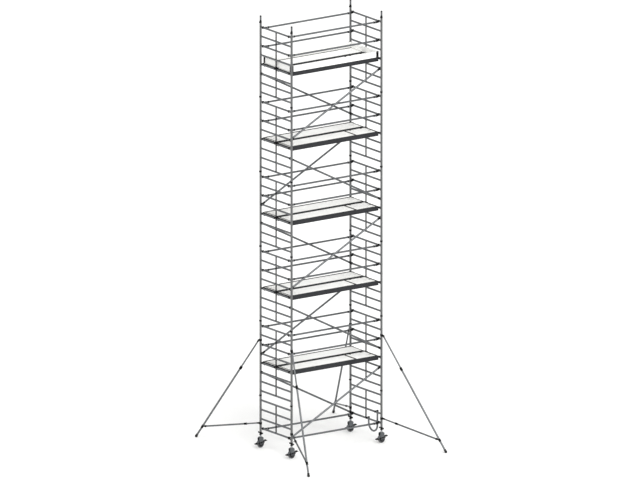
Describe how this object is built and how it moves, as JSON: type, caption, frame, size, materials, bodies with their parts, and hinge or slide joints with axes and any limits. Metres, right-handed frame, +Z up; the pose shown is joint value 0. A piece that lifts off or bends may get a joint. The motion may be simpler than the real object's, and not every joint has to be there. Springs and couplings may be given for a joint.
{
  "type": "mobile tower scaffold",
  "caption": "Tall aluminium scaffold tower on braked castors, with ladder end frames, hatch decks, guard rails, diagonal braces and outrigger stabilisers.",
  "frame": {"origin": "on the ground, under the middle of the tower", "axes": "+Z up, +X along the bay to the end frame with the access step, +Y across the bay to the back, away from the hatch decks"},
  "size_m": [4.4258, 5.1456, 11.572],
  "materials": {
    "frame_tube": "satin mill finish",
    "rail_tube": "satin mill finish",
    "brace_tube": "satin mill finish",
    "stabiliser_tube": "satin mill finish",
    "spigot_tube": "satin mill finish",
    "dark_post": "dark powder coat",
    "black_casting": "black powder-coated casting",
    "black_plate": "black powder coat",
    "deck_beam": "dark anodised",
    "deck_panel": "pale phenolic-faced plywood with a grip pattern",
    "toe_board": "pale painted board",
    "steel_spindle": "zinc plated",
    "castor_steel": "bright zinc plate",
    "wheel_tyre": "grey moulded tyre",
    "brake_plastic": "black moulded",
    "rubber_foot": "matt black"
  },
  "bodies": {
    "tower": {"base_frames": "frame_tube", "end_frames_1": "frame_tube", "end_frames_2": "frame_tube", "end_frames_3": "frame_tube", "end_frames_4": "frame_tube", "end_frames_5": "frame_tube", "centre_posts": "dark_post", "spigots": "spigot_tube", "frame_locks": "black_casting", "base_beams": "rail_tube", "braces": "brace_tube", "guardrails": "rail_tube", "claws": "black_casting", "deck_beams": "deck_beam", "deck_fittings": "black_casting", "deck_panels": "deck_panel", "toe_boards": "toe_board", "toe_board_brackets": "black_plate", "access_step": "rail_tube"},
    "hatch_1": {"hatch_flap_1": "deck_panel"},
    "hatch_2": {"hatch_flap_2": "deck_panel"},
    "hatch_3": {"hatch_flap_3": "deck_panel"},
    "hatch_4": {"hatch_flap_4": "deck_panel"},
    "hatch_5": {"hatch_flap_5": "deck_panel"},
    "jack_fl": {"jack_spindle_fl": "steel_spindle"},
    "jack_nut_fl": {"jack_nut_fl": "black_casting"},
    "castor_fl": {"castor_fork_fl": "castor_steel"},
    "wheel_fl": {"castor_wheel_fl": "wheel_tyre"},
    "brake_fl": {"brake_pedal_fl": "brake_plastic"},
    "stabiliser_fl": {"stabiliser_frame_fl": "rail_tube", "stabiliser_clamps_fl": "black_casting"},
    "stabiliser_leg_fl": {"stabiliser_leg_fl": "stabiliser_tube", "stabiliser_foot_fl": "rubber_foot"},
    "jack_fr": {"jack_spindle_fr": "steel_spindle"},
    "jack_nut_fr": {"jack_nut_fr": "black_casting"},
    "castor_fr": {"castor_fork_fr": "castor_steel"},
    "wheel_fr": {"castor_wheel_fr": "wheel_tyre"},
    "brake_fr": {"brake_pedal_fr": "brake_plastic"},
    "stabiliser_fr": {"stabiliser_frame_fr": "rail_tube", "stabiliser_clamps_fr": "black_casting"},
    "stabiliser_leg_fr": {"stabiliser_leg_fr": "stabiliser_tube", "stabiliser_foot_fr": "rubber_foot"},
    "jack_bl": {"jack_spindle_bl": "steel_spindle"},
    "jack_nut_bl": {"jack_nut_bl": "black_casting"},
    "castor_bl": {"castor_fork_bl": "castor_steel"},
    "wheel_bl": {"castor_wheel_bl": "wheel_tyre"},
    "brake_bl": {"brake_pedal_bl": "brake_plastic"},
    "stabiliser_bl": {"stabiliser_frame_bl": "rail_tube", "stabiliser_clamps_bl": "black_casting"},
    "stabiliser_leg_bl": {"stabiliser_leg_bl": "stabiliser_tube", "stabiliser_foot_bl": "rubber_foot"},
    "jack_br": {"jack_spindle_br": "steel_spindle"},
    "jack_nut_br": {"jack_nut_br": "black_casting"},
    "castor_br": {"castor_fork_br": "castor_steel"},
    "wheel_br": {"castor_wheel_br": "wheel_tyre"},
    "brake_br": {"brake_pedal_br": "brake_plastic"},
    "stabiliser_br": {"stabiliser_frame_br": "rail_tube", "stabiliser_clamps_br": "black_casting"},
    "stabiliser_leg_br": {"stabiliser_leg_br": "stabiliser_tube", "stabiliser_foot_br": "rubber_foot"}
  },
  "joints": [
    {"name": "hatch_hinge_1", "type": "hinge", "parent": "tower", "child": "hatch_1", "pos_m": [1.03, -0.0458, 2.3286], "axis": [-1, 0, 0], "range_deg": [0, 100]},
    {"name": "hatch_hinge_2", "type": "hinge", "parent": "tower", "child": "hatch_2", "pos_m": [1.03, -0.0458, 4.3286], "axis": [-1, 0, 0], "range_deg": [0, 100]},
    {"name": "hatch_hinge_3", "type": "hinge", "parent": "tower", "child": "hatch_3", "pos_m": [1.03, -0.0458, 6.3286], "axis": [-1, 0, 0], "range_deg": [0, 100]},
    {"name": "hatch_hinge_4", "type": "hinge", "parent": "tower", "child": "hatch_4", "pos_m": [1.03, -0.0458, 8.3286], "axis": [-1, 0, 0], "range_deg": [0, 100]},
    {"name": "hatch_hinge_5", "type": "hinge", "parent": "tower", "child": "hatch_5", "pos_m": [1.03, -0.0458, 10.3286], "axis": [-1, 0, 0], "range_deg": [0, 100]},
    {"name": "jack_slide_fl", "type": "slide", "parent": "tower", "child": "jack_fl", "axis": [0, 0, -1], "range_m": [0, 0.2]},
    {"name": "jack_nut_turn_fl", "type": "hinge", "parent": "tower", "child": "jack_nut_fl", "pos_m": [-1.425, -0.7, 0.38], "axis": [0, 0, 1], "range_deg": [0, 7201]},
    {"name": "castor_swivel_fl", "type": "hinge", "parent": "jack_fl", "child": "castor_fl", "pos_m": [-1.425, -0.7, 0.276], "axis": [0, 0, 1], "continuous": true},
    {"name": "wheel_spin_fl", "type": "hinge", "parent": "castor_fl", "child": "wheel_fl", "pos_m": [-1.425, -0.7, 0.1], "axis": [0, 1, 0], "continuous": true},
    {"name": "brake_rock_fl", "type": "hinge", "parent": "castor_fl", "child": "brake_fl", "pos_m": [-1.425, -0.7, 0.142], "axis": [0, 1, 0], "range_deg": [0, 23]},
    {"name": "stabiliser_swing_fl", "type": "hinge", "parent": "tower", "child": "stabiliser_fl", "pos_m": [-1.425, -0.7, 1.7], "axis": [0, 0, -1], "range_deg": [-60, 50]},
    {"name": "stabiliser_leg_slide_fl", "type": "slide", "parent": "stabiliser_fl", "child": "stabiliser_leg_fl", "axis": [-0.2125, -0.52, -0.8273], "range_m": [-0.15, 0]},
    {"name": "jack_slide_fr", "type": "slide", "parent": "tower", "child": "jack_fr", "axis": [0, 0, -1], "range_m": [0, 0.2]},
    {"name": "jack_nut_turn_fr", "type": "hinge", "parent": "tower", "child": "jack_nut_fr", "pos_m": [1.425, -0.7, 0.38], "axis": [0, 0, 1], "range_deg": [0, 7201]},
    {"name": "castor_swivel_fr", "type": "hinge", "parent": "jack_fr", "child": "castor_fr", "pos_m": [1.425, -0.7, 0.276], "axis": [0, 0, 1], "continuous": true},
    {"name": "wheel_spin_fr", "type": "hinge", "parent": "castor_fr", "child": "wheel_fr", "pos_m": [1.425, -0.7, 0.1], "axis": [0, 1, 0], "continuous": true},
    {"name": "brake_rock_fr", "type": "hinge", "parent": "castor_fr", "child": "brake_fr", "pos_m": [1.425, -0.7, 0.142], "axis": [0, 1, 0], "range_deg": [0, 23]},
    {"name": "stabiliser_swing_fr", "type": "hinge", "parent": "tower", "child": "stabiliser_fr", "pos_m": [1.425, -0.7, 1.7], "axis": [0, 0, 1], "range_deg": [-60, 50]},
    {"name": "stabiliser_leg_slide_fr", "type": "slide", "parent": "stabiliser_fr", "child": "stabiliser_leg_fr", "axis": [0.2125, -0.52, -0.8273], "range_m": [-0.15, 0]},
    {"name": "jack_slide_bl", "type": "slide", "parent": "tower", "child": "jack_bl", "axis": [0, 0, -1], "range_m": [0, 0.2]},
    {"name": "jack_nut_turn_bl", "type": "hinge", "parent": "tower", "child": "jack_nut_bl", "pos_m": [-1.425, 0.7, 0.38], "axis": [0, 0, 1], "range_deg": [0, 7201]},
    {"name": "castor_swivel_bl", "type": "hinge", "parent": "jack_bl", "child": "castor_bl", "pos_m": [-1.425, 0.7, 0.276], "axis": [0, 0, 1], "continuous": true},
    {"name": "wheel_spin_bl", "type": "hinge", "parent": "castor_bl", "child": "wheel_bl", "pos_m": [-1.425, 0.7, 0.1], "axis": [0, 1, 0], "continuous": true},
    {"name": "brake_rock_bl", "type": "hinge", "parent": "castor_bl", "child": "brake_bl", "pos_m": [-1.425, 0.7, 0.142], "axis": [0, 1, 0], "range_deg": [0, 23]},
    {"name": "stabiliser_swing_bl", "type": "hinge", "parent": "tower", "child": "stabiliser_bl", "pos_m": [-1.425, 0.7, 1.7], "axis": [0, 0, 1], "range_deg": [-60, 50]},
    {"name": "stabiliser_leg_slide_bl", "type": "slide", "parent": "stabiliser_bl", "child": "stabiliser_leg_bl", "axis": [-0.2125, 0.52, -0.8273], "range_m": [-0.15, 0]},
    {"name": "jack_slide_br", "type": "slide", "parent": "tower", "child": "jack_br", "axis": [0, 0, -1], "range_m": [0, 0.2]},
    {"name": "jack_nut_turn_br", "type": "hinge", "parent": "tower", "child": "jack_nut_br", "pos_m": [1.425, 0.7, 0.38], "axis": [0, 0, 1], "range_deg": [0, 7201]},
    {"name": "castor_swivel_br", "type": "hinge", "parent": "jack_br", "child": "castor_br", "pos_m": [1.425, 0.7, 0.276], "axis": [0, 0, 1], "continuous": true},
    {"name": "wheel_spin_br", "type": "hinge", "parent": "castor_br", "child": "wheel_br", "pos_m": [1.425, 0.7, 0.1], "axis": [0, 1, 0], "continuous": true},
    {"name": "brake_rock_br", "type": "hinge", "parent": "castor_br", "child": "brake_br", "pos_m": [1.425, 0.7, 0.142], "axis": [0, 1, 0], "range_deg": [0, 23]},
    {"name": "stabiliser_swing_br", "type": "hinge", "parent": "tower", "child": "stabiliser_br", "pos_m": [1.425, 0.7, 1.7], "axis": [0, 0, -1], "range_deg": [-60, 50]},
    {"name": "stabiliser_leg_slide_br", "type": "slide", "parent": "stabiliser_br", "child": "stabiliser_leg_br", "axis": [0.2125, 0.52, -0.8273], "range_m": [-0.15, 0]}
  ],
  "couplings": [
    {"joint": "jack_nut_turn_fl", "follows": "jack_slide_fl", "rad_per_m": 628.32},
    {"joint": "jack_nut_turn_fr", "follows": "jack_slide_fr", "rad_per_m": 628.32},
    {"joint": "jack_nut_turn_bl", "follows": "jack_slide_bl", "rad_per_m": 628.32},
    {"joint": "jack_nut_turn_br", "follows": "jack_slide_br", "rad_per_m": 628.32}
  ]
}
